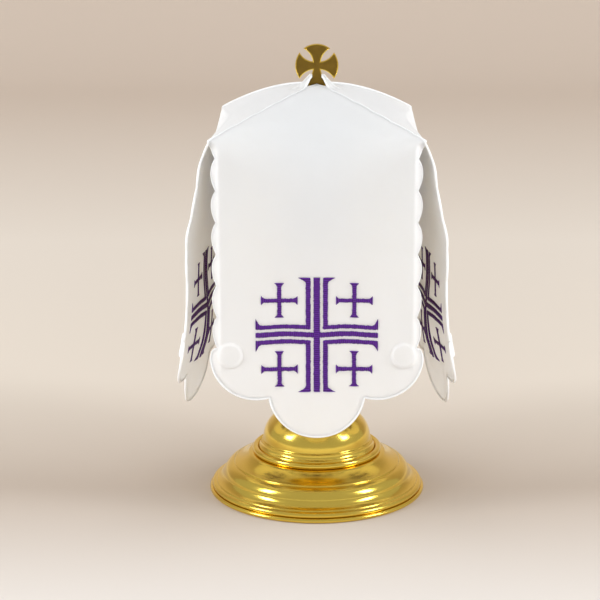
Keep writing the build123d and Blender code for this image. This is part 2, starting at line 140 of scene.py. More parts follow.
def mesh_piece(name, points, quads, material, uv=None):
    """A smooth mesh object from whole arrays of points and quads, with its UV map if it has one.

    A quad with two equal corners, as round a pole, becomes a triangle when the doubles are merged.
    """
    mesh = bpy.data.meshes.new(name)
    mesh.vertices.add(len(points))
    mesh.vertices.foreach_set("co", np.ascontiguousarray(points, dtype=np.float32).ravel())
    mesh.loops.add(quads.size)
    mesh.loops.foreach_set("vertex_index", quads.ravel().astype(np.int32))
    mesh.polygons.add(len(quads))
    mesh.polygons.foreach_set("loop_start", np.arange(0, quads.size, 4, dtype=np.int32))
    mesh.update(calc_edges=True)
    if uv is not None:
        layer = mesh.uv_layers.new(name="cloth")
        layer.data.foreach_set("uv", uv[quads.ravel()].astype(np.float32).ravel())
    mesh.shade_smooth()
    mesh.materials.append(material)
    piece = bpy.data.objects.new(name, mesh)
    bpy.context.scene.collection.objects.link(piece)
    return piece


def unit(vectors):
    """Vectors of length one."""
    return vectors / np.maximum(np.linalg.norm(vectors, axis=-1, keepdims=True), 1e-12)


def tidy_mesh(piece):
    """Merges doubled points, drops what has no area and turns the faces outward."""
    shape = bmesh.new()
    shape.from_mesh(piece.data)
    bmesh.ops.remove_doubles(shape, verts=shape.verts, dist=1e-6)
    bmesh.ops.dissolve_degenerate(shape, edges=shape.edges, dist=1e-7)
    bmesh.ops.recalc_face_normals(shape, faces=shape.faces)
    shape.to_mesh(piece.data)
    shape.free()
    piece.data.shade_smooth()


def smooth_rise(value, width):
    """Zero below, the value itself above, with a quadratic bend of half-length width between."""
    bend = (value + width) ** 2 / (4 * np.maximum(width, 1e-9))
    return np.where(value <= -width, 0.0, np.where(value >= width, value, bend))


def smooth_step(value):
    """Eased ramp from 0 at 0 to 1 at 1."""
    share = np.clip(value, 0.0, 1.0)
    return share * share * (3 - 2 * share)


def cubic(share, start, start_slope, end, end_slope):
    """Smooth curve from start to end that leaves and arrives with the given slopes, at a share from 0 to 1."""
    cube, square = share**3, share**2
    return (
        (2 * cube - 3 * square + 1) * start
        + (cube - 2 * square + share) * start_slope
        + (3 * square - 2 * cube) * end
        + (cube - square) * end_slope
    )


# ---------------------------------------------------------------- materials
def new_material(name, **constants):
    """A node material with the given shader constants, its node tree and its shader."""
    finish = bpy.data.materials.new(name)
    finish.use_nodes = True
    shader = finish.node_tree.nodes["Principled BSDF"]
    for socket, value in constants.items():
        shader.inputs[socket.replace("_", " ")].default_value = value
    return finish, finish.node_tree, shader


def object_place(tree):
    """Coordinates of the object itself, in metres."""
    return tree.nodes.new("ShaderNodeTexCoord").outputs["Object"]


def cloth_place(tree):
    """Coordinates across and along the flat cloth, in metres."""
    node = tree.nodes.new("ShaderNodeUVMap")
    node.uv_map = "cloth"
    return node.outputs["UV"]


def noise(tree, source, scale, detail=2.0, stretch=(1, 1, 1)):
    """Noise on the given coordinates, stretched along each axis; returns its value socket."""
    mapping = tree.nodes.new("ShaderNodeMapping")
    mapping.inputs["Scale"].default_value = stretch
    tree.links.new(source, mapping.inputs["Vector"])
    texture = tree.nodes.new("ShaderNodeTexNoise")
    texture.inputs["Scale"].default_value = scale
    texture.inputs["Detail"].default_value = detail
    tree.links.new(mapping.outputs["Vector"], texture.inputs["Vector"])
    return texture.outputs["Fac"]


def wave(tree, source, scale, direction, distortion):
    """Parallel ridges across one direction of the given coordinates; returns their height."""
    texture = tree.nodes.new("ShaderNodeTexWave")
    texture.bands_direction = direction
    texture.inputs["Scale"].default_value = scale
    texture.inputs["Distortion"].default_value = distortion
    texture.inputs["Detail"].default_value = 2.0
    texture.inputs["Detail Scale"].default_value = 1.5
    tree.links.new(source, texture.inputs["Vector"])
    return texture.outputs["Fac"]


def math_node(tree, operation, first, second):
    """Arithmetic on two sockets or numbers; returns the result socket."""
    node = tree.nodes.new("ShaderNodeMath")
    node.operation = operation
    for socket, value in zip(node.inputs, (first, second)):
        if isinstance(value, (int, float)):
            socket.default_value = value
        else:
            tree.links.new(value, socket)
    return node.outputs["Value"]


def tint(tree, shader, factor, low, high):
    """Lets the shader's colour run from low to high with a 0 to 1 factor."""
    ramp = tree.nodes.new("ShaderNodeValToRGB")
    ramp.color_ramp.elements[0].color = (*low, 1)
    ramp.color_ramp.elements[1].color = (*high, 1)
    tree.links.new(factor, ramp.inputs["Fac"])
    tree.links.new(ramp.outputs["Color"], shader.inputs["Base Color"])


def bump(tree, shader, height, strength, distance):
    """Surface relief from a height socket."""
    node = tree.nodes.new("ShaderNodeBump")
    node.inputs["Strength"].default_value = strength
    node.inputs["Distance"].default_value = distance
    tree.links.new(height, node.inputs["Height"])
    tree.links.new(node.outputs["Normal"], shader.inputs["Normal"])


def scaled(colour, factor):
    """A colour made lighter or darker."""
    return tuple(min(1.0, channel * factor) for channel in colour)


def thin_glow(weight, depth):
    """Shader constants of thread or cloth that lets light through, to a depth in metres."""
    return {"Subsurface_Weight": weight, "Subsurface_Radius": (1.0, 1.0, 1.0), "Subsurface_Scale": depth}


def veil_cloth(colour):
    """Stiff white cloth: a fine plain weave of warp and weft ridges and a faint unevenness."""
    finish, tree, shader = new_material(
        "veil_cloth", Roughness=0.78, Sheen_Weight=0.25, Sheen_Roughness=0.4, Specular_IOR_Level=0.25,
        **thin_glow(1.0, 4 * MM),
    )
    place = cloth_place(tree)
    weave = math_node(tree, "MULTIPLY", wave(tree, place, 900.0, "X", 0.6), wave(tree, place, 900.0, "Y", 0.6))
    height = math_node(tree, "ADD", weave, noise(tree, place, 260.0, 3.0, (1.0, 0.25, 1.0)))
    tint(tree, shader, noise(tree, place, 28.0), scaled(colour, 0.97), scaled(colour, 1.02))
    bump(tree, shader, height, 0.35, 0.12 * MM)
    return finish


def satin_stitch(name, colour, pitch, painted_shade, light, relief, shine=0.45, glow=0.6):
    """Close satin stitches laid across a run of thread, the run being the first UV axis in metres.

    The two colour factors paint light on the thread: the first scales the colour down between the stitches as
    painted shade, and the light factor scales it up on their tops as a painted highlight, both by the stitch
    height with its random loose-thread noise.
    Shine is the strength of the thread's reflections and glow the share of light that passes through it.
    """
    finish, tree, shader = new_material(name, Roughness=0.5, Specular_IOR_Level=shine, **thin_glow(glow, 3 * MM))
    place = cloth_place(tree)
    stitches = wave(tree, place, 1.0 / (pitch * math.pi), "X", 1.2)
    loose = noise(tree, place, 750.0, 3.0, (1.0, 0.5, 1.0))
    height = math_node(tree, "ADD", stitches, math_node(tree, "MULTIPLY", loose, 0.8))
    # Painted light: colour darkened between the stitches as painted shade and lightened on their tops as a
    # painted highlight, following the stitch height and its random loose-thread noise.
    tint(tree, shader, math_node(tree, "MULTIPLY", height, 0.55), scaled(colour, painted_shade), scaled(colour, light))
    bump(tree, shader, height, relief, 0.2 * MM)
    return finish


def polished_gilt(colour):
    """Polished gilt brass with a trace of fine turning lines round its axis."""
    finish, tree, shader = new_material("polished_gilt", Metallic=1.0, Roughness=0.17)
    place = object_place(tree)
    tint(tree, shader, noise(tree, place, 60.0, 3.0), scaled(colour, 0.94), scaled(colour, 1.04))
    bump(tree, shader, noise(tree, place, 900.0, 1.0, (0.02, 0.02, 1.0)), 0.05, 0.1 * MM)
    return finish


def darkened_bronze(colour):
    """Brushed, darkened brass of the cross's faces."""
    finish, tree, shader = new_material("darkened_bronze", Metallic=0.85, Roughness=0.42)
    place = object_place(tree)
    tint(tree, shader, noise(tree, place, 220.0, 4.0), scaled(colour, 0.7), scaled(colour, 1.25))
    bump(tree, shader, noise(tree, place, 2500.0, 2.0, (1.0, 1.0, 0.1)), 0.2, 0.1 * MM)
    return finish


def plain_steel():
    """Bright zinc-plated steel of the hidden fastenings."""
    finish, tree, shader = new_material("plated_steel", Metallic=1.0, Roughness=0.35)
    tint(tree, shader, noise(tree, object_place(tree), 300.0), (0.46, 0.47, 0.48), (0.62, 0.62, 0.62))
    return finish


def green_felt():
    """Dark green felt under the foot."""
    finish, tree, shader = new_material("green_felt", Roughness=0.95)
    fibres = noise(tree, object_place(tree), 1500.0, 4.0)
    tint(tree, shader, fibres, (0.012, 0.045, 0.02), (0.03, 0.09, 0.045))
    bump(tree, shader, fibres, 0.6, 0.3 * MM)
    return finish


MATERIALS = {}


def material(name):
    """The named finish, made once and shared by every piece that has it."""
    if name not in MATERIALS:
        veil = bpy.context.scene.ciborium_veil
        metal = bpy.context.scene.ciborium_metal
        makers = {
            "veil_cloth": lambda: veil_cloth(veil.cloth_colour),
            # After the pitch come the painted shade between the stitches and the painted highlight on them, as
            # colour factors.
            "border_thread": lambda: satin_stitch(name, veil.border_colour, 0.5 * MM, 0.94, 1.03, 0.3),
            "purple_thread": lambda: satin_stitch(
                name, veil.thread_colour, 1.15 * MM, 0.1, 2.6, 1.0, shine=0.12, glow=0.0
            ),
            "gilt_brass": lambda: polished_gilt(metal.gilt_colour),
            "antique_brass": lambda: darkened_bronze(metal.bronze_colour),
            "steel": plain_steel,
            "felt": green_felt,
        }
        MATERIALS[name] = makers[name]()
    return MATERIALS[name]


# ---------------------------------------------------------------- shape of the veil
# Heights are above the floor. A lobe is its place across the panel, its height and its radius.
APEX = 237.0 * MM
SHOULDER = 215.0 * MM
HALF_DEPTH = 60.1 * MM
HALF_WIDTH = 58.2 * MM
FRONT_NARROWING = 1.2 * MM
BACK_NARROWING = 2.5 * MM
MIDDLE_POWER = 1.4
POWER_CHANGE = 0.3
SIDE_FALL = 0.98
NOTCH_WIDTH = 53.7 * MM
FIRST_NOTCH = 205.0 * MM
CENTRE_LOBE = (0.0, 76.5 * MM, 26.5 * MM)
SIDE_LOBE = (33.0 * MM, 97.0 * MM, 25.4 * MM)
LOBE_SHARE = 0.456
WEIGHT_ACROSS = 47.4 * MM
WEIGHT_HEIGHT = 97.0 * MM
WEIGHT_RADIUS = 6.6 * MM
CROSS_HEIGHT = 108.3 * MM
SLIT_HALF_WIDTH = 1.9 * MM
SLIT_SHARE = 0.235
SLIT_COLUMN = 0.02
LOBE_START = math.radians(9.0)
LOBE_END = math.radians(-45.0)
SCALLOPS = 6
BUMP_HEIGHT = 1.2 * MM
CREASE_ACROSS = 52.6 * MM
CREASE_SLOPE = 1.3

# How far a side panel stands out of the shoulder's plane, in millimetres, at heights from the hem to
# the shoulder (rows) and at stations from the front edge to the back one (columns).
FLARE_HEIGHTS = (45, 62, 78, 88, 100, 128, 145, 160, 174, 188, 204, 215)
FLARE_STATIONS = (-60, -50, -40, -30, -20, -10, 0, 12, 24, 40, 60)
FLARE = (
    (17.6, 18.0, 18.0, 17.4, 16.8, 16.8, 15.0, 11.6, 7.4, 3.6, 1.6),
    (17.6, 18.2, 18.0, 17.0, 16.2, 15.6, 13.5, 10.4, 6.8, 3.4, 1.5),
    (17.2, 18.0, 17.8, 15.8, 13.8, 12.2, 9.0, 7.2, 5.2, 3.0, 1.4),
    (15.8, 16.8, 16.6, 14.4, 12.0, 9.4, 6.0, 5.0, 4.0, 2.6, 1.2),
    (14.0, 14.6, 14.2, 12.4, 9.8, 7.2, 4.8, 4.0, 3.2, 2.2, 1.0),
    (12.0, 12.2, 11.4, 10.2, 8.6, 7.2, 5.8, 4.6, 3.2, 1.8, 0.8),
    (12.4, 12.0, 10.8, 9.3, 7.8, 6.4, 5.0, 3.9, 2.7, 1.5, 0.7),
    (12.2, 11.2, 9.6, 8.0, 6.6, 5.3, 4.1, 3.1, 2.1, 1.2, 0.5),
    (9.2, 8.2, 6.8, 5.6, 4.6, 3.8, 3.0, 2.2, 1.5, 0.8, 0.3),
    (6.6, 5.6, 4.6, 3.7, 3.0, 2.4, 1.9, 1.3, 0.8, 0.4, 0.1),
    (4.0, 3.2, 2.4, 1.8, 1.3, 1.0, 0.7, 0.4, 0.2, 0.1, 0.0),
    (0.0, 0.0, 0.0, 0.0, 0.0, 0.0, 0.0, 0.0, 0.0, 0.0, 0.0),
)


def is_side(place):
    """True for the left and right panels."""
    return place in ("left", "right")


def behind_middle(place, across):
    """Distance of a side panel's point behind the middle of the object, from its place across the panel."""
    return across if place == "right" else -across


def set_down(place, across, out, height):
    """Points in space from distances across a panel and out from the middle, and heights."""
    turned = {
        "front": (across, -out),
        "back": (-across, out),
        "right": (out, across),
        "left": (-out, -across),
    }
    x, y = turned[place]
    return np.stack(np.broadcast_arrays(x, y, height), axis=-1)


def roof_run(place):
    """Distance from the middle to the shoulder of a panel."""
    return HALF_WIDTH if is_side(place) else HALF_DEPTH


def roof_length(place):
    """Length of the cloth from the apex to the shoulder, along its slope."""
    return math.hypot(roof_run(place), APEX - SHOULDER)


def between_rows(heights, table, level):
    """Rows of the table at any levels, on a smooth curve between the rows at its own heights."""
    before = np.clip(np.searchsorted(heights, level) - 1, 0, len(heights) - 2)
    slopes = np.gradient(table, heights, axis=0)
    step = heights[before + 1] - heights[before]
    share = np.clip((level - heights[before]) / step, 0.0, 1.0)[..., None]
    step = step[..., None]
    return cubic(share, table[before], slopes[before] * step, table[before + 1], slopes[before + 1] * step)


def flare(place, across, fall):
    """How far a side panel stands out of its shoulder's plane, from the table above."""
    heights = np.array(FLARE_HEIGHTS) * MM
    stations = np.array(FLARE_STATIONS) * MM
    level = np.clip(SHOULDER - fall, heights[0], heights[-1])
    station = np.clip(behind_middle(place, across), stations[0], stations[-1])
    rows = between_rows(heights, np.array(FLARE) * MM, level)
    before = np.clip(np.searchsorted(stations, station) - 1, 0, len(stations) - 2)
    index = before[..., None]
    start, end = (np.take_along_axis(rows, index + extra, -1)[..., 0] for extra in (0, 1))
    slopes = np.gradient(rows, stations, axis=-1)
    step = stations[before + 1] - stations[before]
    start_slope, end_slope = (np.take_along_axis(slopes, index + extra, -1)[..., 0] * step for extra in (0, 1))
    return cubic((station - stations[before]) / step, start, start_slope, end, end_slope)


def weight_bumps(across, level):
    """Two flat-topped round bumps where the corner weights push the cloth out."""
    reach = np.hypot(np.abs(across) - WEIGHT_ACROSS, level - WEIGHT_HEIGHT)
    return BUMP_HEIGHT * (1 - smooth_step((reach - WEIGHT_RADIUS + 0.7 * MM) / (1.4 * MM)))


def turned_back_edge(across, level):
    """How far the sides of a flat panel turn back towards the middle, past a soft crease."""
    depth = smooth_rise(np.abs(across) - CREASE_ACROSS, 0.7 * MM)
    fade = smooth_step((level - 78.0 * MM) / (30.0 * MM))
    return CREASE_SLOPE * depth * fade


def billow(across, level):
    """Slow waves of a hanging cloth, less than a millimetre deep near the crosses."""
    calm = smooth_step((SHOULDER - level) / (40 * MM))
    return calm * (
        0.5 * MM * np.sin(across / (15 * MM) + 1.1) * np.cos(level / (34 * MM))
        + 0.35 * MM * np.sin(level / (21 * MM) + across / (40 * MM))
    )


def hang(place, across, fall):
    """How far the hanging cloth stands out of the shoulder's plane."""
    level = SHOULDER - fall
    bumps = weight_bumps(across, level)
    if is_side(place):
        return flare(place, across, fall) + bumps
    return bumps + billow(across, level) - turned_back_edge(across, level) * smooth_step(fall / (6 * MM))


def roof_power(place, across, out):
    """Power of the roof's fall: near 1, a straight slope, at the front and higher at the back."""
    ahead = 1.0 if place == "front" else -1.0
    if is_side(place):
        ahead = np.clip(-behind_middle(place, across) / np.maximum(out * HALF_DEPTH / HALF_WIDTH, MM), -1, 1)
    return MIDDLE_POWER - POWER_CHANGE * ahead


def shoulder_bend(place, across):
    """Half length of the cloth's bend at the shoulder: wide in the middle and sharp at the ends."""
    size = np.clip(np.abs(across) / (57 * MM), 0, 1)
    if place == "front":
        return 1.5 * MM + 28.0 * MM * (1 - size**1.6)
    return (4.5 if is_side(place) else 1.5) * MM + 9.0 * MM * (1 - smooth_step(size))


def slit_lips(out, behind):
    """Lift of the cloth round the slit: a pointed tip on each side of the cross, and a raised front lip."""
    tip = np.clip(1 - np.hypot(out - 3.4 * MM, behind + 2.2 * MM) / (7.0 * MM), 0, 1)
    lip = np.exp(-(((behind + 2.0 * MM) / (2.6 * MM)) ** 2)) * (1 - smooth_step((out - 10 * MM) / (7 * MM)))
    return 5.6 * MM * tip**1.15 + 1.1 * MM * lip


def cloth_surface(place, across, along):
    """Middle of the cloth at a place across it and a distance along it from the shoulder line.

    Before the shoulder the cloth follows the roof, whose height falls with a power of the way out.
    After it, the cloth hangs. A quadratic bend joins the two.
    """
    run, length = roof_run(place), roof_length(place)
    fall = smooth_rise(along, shoulder_bend(place, across))
    share = np.clip(1 + (along - fall) / length, 0.0, None)
    out = run * share
    height = APEX - (APEX - SHOULDER) * share ** roof_power(place, across, out)
    out = out + hang(place, across, fall)
    if is_side(place):
        behind = np.clip(behind_middle(place, across) / np.maximum(HALF_DEPTH * share, MM), -1, 1)
        narrowing = FRONT_NARROWING + (BACK_NARROWING - FRONT_NARROWING) * (1 + behind) / 2
        out = out - narrowing * share * (1 - smooth_step(fall / (18 * MM)))
        height = height - SIDE_FALL * fall
        height = height + slit_lips(out, behind_middle(place, across)) - 0.8 * MM * (1 - smooth_step(fall / MM))
    else:
        height = height - fall
    return set_down(place, across, out, height)


def cloth_normal(place, across, along):
    """Outward normal of the cloth, from small steps across and along it."""
    step = 0.3 * MM
    sideways = cloth_surface(place, across + step, along) - cloth_surface(place, across - step, along)
    downward = cloth_surface(place, across, along + step) - cloth_surface(place, across, along - step)
    return unit(np.cross(downward, sideways))


def scallop(distance, pitch, depth):
    """Row of round scallops: parabolas that meet in notches at whole pitches."""
    phase = np.mod(distance / pitch, 1.0)
    return depth * 4 * phase * (1 - phase)


def lobe_edge(share):
    """Hem of a panel, as places across it and heights, from its left edge (-1) to its right (1).

    The middle share follows the big round lobe and the outer shares the two smaller ones, as arcs
    that start where the circles cross.
    """
    cx, cz, cr = CENTRE_LOBE
    sx, sz, sr = SIDE_LOBE
    gap = math.hypot(sx - cx, sz - cz)
    towards = math.atan2(sz - cz, sx - cx)
    along = (cr**2 - sr**2 + gap**2) / (2 * gap)
    off = math.acos(along / cr)
    meet = towards - off
    notch = (cx + cr * math.cos(meet), cz + cr * math.sin(meet))
    side_start = math.atan2(notch[1] - sz, notch[0] - sx)
    size = np.abs(share)
    middle = np.clip(size / LOBE_SHARE, 0, 1)
    outer = np.clip((size - LOBE_SHARE) / (1 - LOBE_SHARE), 0, 1)
    centre_angle = -math.pi / 2 + middle * (meet + math.pi / 2)
    side_angle = side_start + outer * (LOBE_END - side_start)
    inside = size <= LOBE_SHARE
    across = np.where(inside, cx + cr * np.cos(centre_angle), sx + sr * np.cos(side_angle))
    height = np.where(inside, cz + cr * np.sin(centre_angle), sz + sr * np.sin(side_angle))
    return np.sign(share) * across, height


def side_edge(level):
    """Half width of a hanging panel at a height: scallops down to the side lobe, then the lobe's circle."""
    veil = bpy.context.scene.ciborium_veil
    cx, cz, radius = SIDE_LOBE
    bulge = scallop(level - FIRST_NOTCH, veil.scallop_pitch, veil.scallop_depth)
    last_notch = FIRST_NOTCH - SCALLOPS * veil.scallop_pitch
    lobe_top = cz - radius * math.sin(LOBE_START)
    circle = cx + np.sqrt(np.clip(radius**2 - (np.minimum(level, lobe_top) - cz) ** 2, 0, None))
    share = np.clip((last_notch - level) / (last_notch - lobe_top), 0, 1)
    swell = NOTCH_WIDTH + (circle - NOTCH_WIDTH) * np.sqrt(share * (2 - share))
    return np.where(level < last_notch, swell, NOTCH_WIDTH + bulge)


def roof_edge(place, along):
    """Half width of the cloth between the slit and the shoulder: along the ridge, the front one scalloped."""
    veil = bpy.context.scene.ciborium_veil
    share = 1 + along / roof_length(place)
    ridge = (HALF_DEPTH if is_side(place) else HALF_WIDTH) * share
    if is_side(place):
        return np.maximum(ridge - 0.2 * MM, SLIT_HALF_WIDTH + 1.2 * MM)
    if place == "back":
        return ridge - BACK_NARROWING * share
    first = along * math.sqrt(2.0) - (SHOULDER - FIRST_NOTCH)
    lap = scallop(first, veil.scallop_pitch, veil.scallop_depth * 0.25)
    point = 0.03 * HALF_WIDTH * (1 - smooth_step((share - 0.03) / 0.06))
    return ridge - FRONT_NARROWING * share - point + 0.2 * MM + lap * smooth_step((share - 0.1) / 0.2)


def panel_layout(place):
    """Grid of a panel's flat cut: places across it, distances along it, and which cells are cloth.

    Rows run from the slit to the shoulder and then to the hem, blending the straight shoulder line into
    the lobed hem. The scallops of the two sides fade towards the middle with the cube of the share.
    """
    stops = ((-1, 45), (-LOBE_SHARE, 36), (-SLIT_COLUMN, 3), (SLIT_COLUMN, 36), (LOBE_SHARE, 45), (1, 1))
    shares = np.concatenate(
        [np.linspace(start, end, count)[:-1] for (start, count), (end, _) in zip(stops, stops[1:])] + [[1.0]]
    )
    first = -roof_length(place) * (1 - (0.032 if place == "front" else 0.05))
    roof_along = np.linspace(first, 0, 66)[:-1]
    half = roof_edge(place, roof_along)
    roof_across = half[:, None] * shares[None, :]
    if is_side(place):
        slit = roof_along < -roof_length(place) * (1 - SLIT_SHARE)
        aside = (np.abs(shares) - SLIT_COLUMN) / (1 - SLIT_COLUMN)
        spread = SLIT_HALF_WIDTH + aside * (half[:, None] - SLIT_HALF_WIDTH)
        parted = np.sign(shares) * np.where(np.abs(shares) < 0.95 * SLIT_COLUMN, 0.0, spread)
        near = smooth_step((-roof_along / roof_length(place) - (1 - SLIT_SHARE) + 0.06) / 0.06)[:, None]
        roof_across = roof_across * (1 - near) + parted * near
    down = np.linspace(0, 1, 190)
    hem_across, hem_level = lobe_edge(shares)
    corner_level = lobe_edge(np.array(1.0))[1]
    level = SHOULDER - down * (SHOULDER - corner_level)
    edge = side_edge(level)
    top_half = roof_edge(place, np.array(0.0))
    edge = top_half + (edge - top_half) * smooth_step((SHOULDER - level) / (6 * MM))
    t = down[:, None]
    swell = edge - ((1 - down) * top_half + down * edge[-1])
    across = (1 - t) * top_half * shares + t * hem_across + shares**3 * swell[:, None]
    height = (1 - t) * SHOULDER + t * hem_level + level[:, None] - ((1 - t) * SHOULDER + t * corner_level)
    across = np.concatenate([roof_across, across])
    along = np.concatenate([np.broadcast_to(roof_along[:, None], roof_across.shape), SHOULDER - height])
    keep = np.ones((len(across) - 1, len(shares) - 1), bool)
    if is_side(place):
        middle = np.abs((shares[:-1] + shares[1:]) / 2) < SLIT_COLUMN
        keep[: int(slit.sum())] &= ~middle
    return across, along, keep


def flat_area(across, along, keep):
    """Area of the kept cells of a flat cut."""
    cut = np.stack([across, along], -1)
    one, two = cut[1:, 1:] - cut[:-1, :-1], cut[1:, :-1] - cut[:-1, 1:]
    cells = 0.5 * np.abs(one[..., 0] * two[..., 1] - one[..., 1] * two[..., 0])
    return float(cells[keep].sum())


def thicken(piece, thickness):
    """Gives a sheet its thickness, half to each side."""
    wall = piece.modifiers.new("cloth", "SOLIDIFY")
    wall.thickness = thickness
    wall.offset = 0.0
    wall.use_even_offset = False


def veil_sheet(place):
    """One panel of the veil from the slit to the hem; returns its piece and the cut's area."""
    across, along, keep = panel_layout(place)
    points = cloth_surface(place, across, along)
    quads = grid_faces(*across.shape).reshape(across.shape[0] - 1, across.shape[1] - 1, 4)[keep]
    uv = np.stack([across, -along], -1).reshape(-1, 2)
    piece = mesh_piece(f"veil_{place}", points.reshape(-1, 3), quads[:, ::-1], material("veil_cloth"), uv)
    thicken(piece, bpy.context.scene.ciborium_veil.cloth_thickness)
    return piece, flat_area(across, along, keep)


# ---------------------------------------------------------------- threads on the veil
def border_path(place):
    """Places across and along a panel, in order round its edge."""
    across, along, keep = panel_layout(place)
    cut = np.stack([across, along], -1)
    path = [cut[:, 0], cut[-1, 1:-1], cut[::-1, -1]]
    if is_side(place):
        rows = int((~keep).any(axis=1).sum())
        middle = cut.shape[1] // 2
        path += [cut[: rows + 1, middle + 1], cut[: rows + 1, middle - 1][::-1][1:]]
    return np.concatenate(path)


def border_cord(place):
    """Satin stitch round a panel's edge: a flat oval carried along the edge, just inside it."""
    veil = bpy.context.scene.ciborium_veil
    path = border_path(place)
    points = cloth_surface(place, path[:, 0], path[:, 1])
    normal = cloth_normal(place, path[:, 0], path[:, 1])
    tangent = unit(np.roll(points, -1, 0) - np.roll(points, 1, 0))
    inward = unit(np.cross(tangent, normal))
    ring = np.linspace(0, 2 * np.pi, 10, endpoint=False)
    half, thick = veil.border_width / 2, veil.cloth_thickness / 2 + 0.28 * MM
    centre = points - inward * half * 0.55
    shape = (
        centre[:, None]
        + inward[:, None] * (half * np.cos(ring))[None, :, None]
        + normal[:, None] * (thick * np.sin(ring))[None, :, None]
    )
    run = np.concatenate([[0], np.cumsum(np.linalg.norm(np.diff(points, axis=0), axis=1))])
    uv = np.stack(np.broadcast_arrays(run[:, None], (ring * half)[None, :]), -1).reshape(-1, 2)
    quads = grid_faces(len(points), len(ring), wrap_rows=True, wrap_columns=True)
    piece = mesh_piece(f"border_{place}", shape.reshape(-1, 3), quads, material("border_thread"), uv)
    tidy_mesh(piece)
    return piece


def stitched_bar(place, start, end, left, right, relief, seed):
    """One closed bar of satin stitch through the cloth, as points, quads and UVs.

    start and end are places (across, up) from the middle of the cross. left and right give the bar's
    edge on each side of its line at any share of its length. A flat oval of that width is carried
    along the line, half of it above the cloth and half below, with uneven stitch ends.
    """
    start, end = np.array(start), np.array(end)
    span = np.linalg.norm(end - start)
    steps = max(8, int(span / (0.42 * MM)))
    share = np.linspace(0, 1, steps)
    ring = np.linspace(0, 2 * np.pi, 14, endpoint=False)
    ragged = np.random.default_rng(seed).normal(0, 0.11 * MM, (2, steps))
    low = -left(share) + ragged[0]
    high = right(share) + ragged[1]
    reach = np.sign(np.cos(ring)) * np.abs(np.cos(ring)) ** 0.6
    lift = np.sign(np.sin(ring)) * np.abs(np.sin(ring)) ** 0.8
    closing = np.minimum(1, np.sqrt(np.clip(np.minimum(share, 1 - share) * span / (0.3 * MM), 0, 1)))
    offset = low[:, None] + (high - low)[:, None] * (reach[None, :] + 1) / 2
    direction = (end - start) / span
    sideways = np.array([direction[1], -direction[0]])
    flat = start + direction * (share * span)[:, None]
    flat = flat[:, None] + sideways * offset[..., None]
    bow = 0.8 * MM * np.sin(np.pi * np.clip(np.abs(flat[..., 0]) / (33 * MM), 0, 1)) ** 2
    across, level = flat[..., 0], CROSS_HEIGHT + flat[..., 1] + bow * np.exp(-(flat[..., 1] / (12 * MM)) ** 2)
    along = SHOULDER - level
    surface = cloth_surface(place, across, along)
    normal = cloth_normal(place, across, along)
    thick = bpy.context.scene.ciborium_veil.cloth_thickness / 2 + relief
    points = surface + normal * (thick * lift[None, :] * closing[:, None])[..., None]
    poles = points[[0, -1]].mean(1, keepdims=True).repeat(len(ring), 1)
    points = np.concatenate([poles[:1], points, poles[1:]])
    run = np.concatenate([[0], share, [1]]) * span
    uv = np.stack(np.broadcast_arrays(run[:, None], (reach * 1.5 * MM)[None, :]), -1)
    quads = grid_faces(len(points), len(ring), wrap_columns=True)
    return points.reshape(-1, 3), quads, uv.reshape(-1, 2)


def even(half):
    """A bar edge at a steady distance."""
    return lambda share: np.full_like(share, half)


def flared(half, flare_out, flare_length, span, both=True):
    """A bar edge that curves out to a pointed serif at its end, or at both ends."""
    def edge(share):
        to_end = (1 - share) * span
        to_start = share * span if both else np.full_like(share, 1.0)
        near = np.minimum(to_end, to_start)
        rise = np.clip(1 - near / flare_length, 0, 1)
        return half + flare_out * rise**1.8
    return edge


def jerusalem_bars():
    """Every bar of the cross: its ends in millimetres, its two edges and its extra relief in millimetres."""
    bars = []
    wide, tall = 33.5, 32.5
    bars.append(((-wide, 0), (wide, 0), even(1.55 * MM), even(1.55 * MM), 0.0))
    bars.append(((0, -tall), (0, tall), even(1.85 * MM), even(1.85 * MM), 0.06))
    bar, thin = 1.42, 1.26
    middle, level = 3.25 + bar, 2.95 + thin
    for side in (-1, 1):
        for rise in (-1, 1):
            length = (tall - level + thin) * MM
            outer = flared(bar * MM, 5.4 * MM, 3.6 * MM, length, both=False)
            edges = (outer, even(bar * MM)) if side * rise < 0 else (even(bar * MM), outer)
            bars.append(((side * middle, rise * (level - thin)), (side * middle, rise * tall), *edges, 0.0))
            length = (wide - middle + bar) * MM
            outer = flared(thin * MM, 5.0 * MM, 3.4 * MM, length, both=False)
            edges = (even(thin * MM), outer) if side * rise < 0 else (outer, even(thin * MM))
            bars.append(((side * (middle - bar), rise * level), (side * wide, rise * level), *edges, 0.03))
            x, z = side * 20.3, rise * 19.3 + 0.1
            ends = flared(1.2 * MM, 2.2 * MM, 2.5 * MM, 20.4 * MM)
            bars.append(((x - 10.2, z), (x + 10.2, z), ends, ends, 0.0))
            bars.append(((x, z - 10.1), (x, z + 10.1), ends, ends, 0.05))
    return bars


def embroidery(place):
    """The cross of triple bars with its four small crosses, sewn through one panel."""
    relief = bpy.context.scene.ciborium_veil.relief
    points, quads, uvs, count = [], [], [], 0
    for number, (start, end, left, right, extra) in enumerate(jerusalem_bars()):
        start, end = np.array(start) * MM, np.array(end) * MM
        p, q, uv = stitched_bar(place, start, end, left, right, relief + extra * MM, number)
        points.append(p)
        quads.append(q + count)
        uvs.append(uv + np.array([0, number * 0.01]))
        count += len(p)
    piece = mesh_piece(
        f"embroidered_cross_{place}", np.concatenate(points), np.concatenate(quads),
        material("purple_thread"), np.concatenate(uvs),
    )
    tidy_mesh(piece)
    return piece


